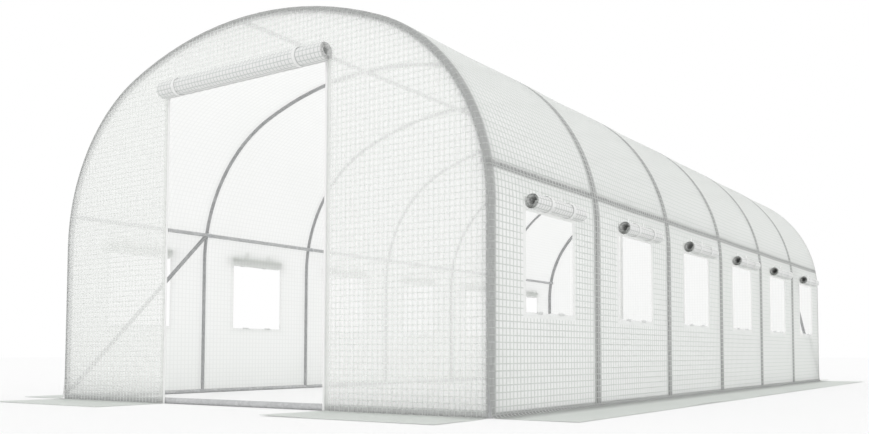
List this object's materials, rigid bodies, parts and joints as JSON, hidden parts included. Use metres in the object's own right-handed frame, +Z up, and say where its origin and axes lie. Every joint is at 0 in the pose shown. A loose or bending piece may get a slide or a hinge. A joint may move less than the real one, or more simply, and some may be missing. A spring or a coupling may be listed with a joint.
{
  "type": "polytunnel greenhouse",
  "caption": "Walk-in polytunnel greenhouse: bent tube hoops under a gridded sheet cover, a roll-up door at one end, roll-up windows along both walls and ground flaps.",
  "frame": {"origin": "centre of the footprint, flaps included, on the ground", "axes": "+Z up, +Y along the tunnel from the doorway end to the closed end, +X to the right-hand wall as seen from outside facing the doorway"},
  "size_m": [3.8, 6.8, 1.9998],
  "materials": {
    "cover": "translucent reinforced sheet, satin",
    "frame_tube": "galvanised grey, satin",
    "strap": "woven tape"
  },
  "bodies": {
    "root": {"door_roll": "cover", "door_roll_straps": "strap", "front_base_rail": "frame_tube", "front_flap_left": "cover", "front_flap_right": "cover", "front_hoop": "frame_tube", "front_panel_left": "cover", "front_panel_over_door": "cover", "front_panel_right": "cover", "hoop_2": "frame_tube", "hoop_3": "frame_tube", "hoop_4": "frame_tube", "hoop_5": "frame_tube", "hoop_6": "frame_tube", "left_base_rail": "frame_tube", "left_flap": "cover", "left_front_brace": "frame_tube", "left_purlin": "frame_tube", "left_wall_between_windows": "cover", "left_wall_lower": "cover", "left_window_rolls": "cover", "left_window_straps": "strap", "rear_base_rail": "frame_tube", "rear_door": "cover", "rear_flap_left": "cover", "rear_flap_right": "cover", "rear_hoop": "frame_tube", "rear_panel_left": "cover", "rear_panel_over_door": "cover", "rear_panel_right": "cover", "ridge_purlin": "frame_tube", "right_base_rail": "frame_tube", "right_flap": "cover", "right_purlin": "frame_tube", "right_rear_brace": "frame_tube", "right_wall_between_windows": "cover", "right_wall_lower": "cover", "right_window_rolls": "cover", "right_window_straps": "strap", "roof_crown": "cover", "roof_left": "cover", "roof_right": "cover"}
  },
  "joints": []
}
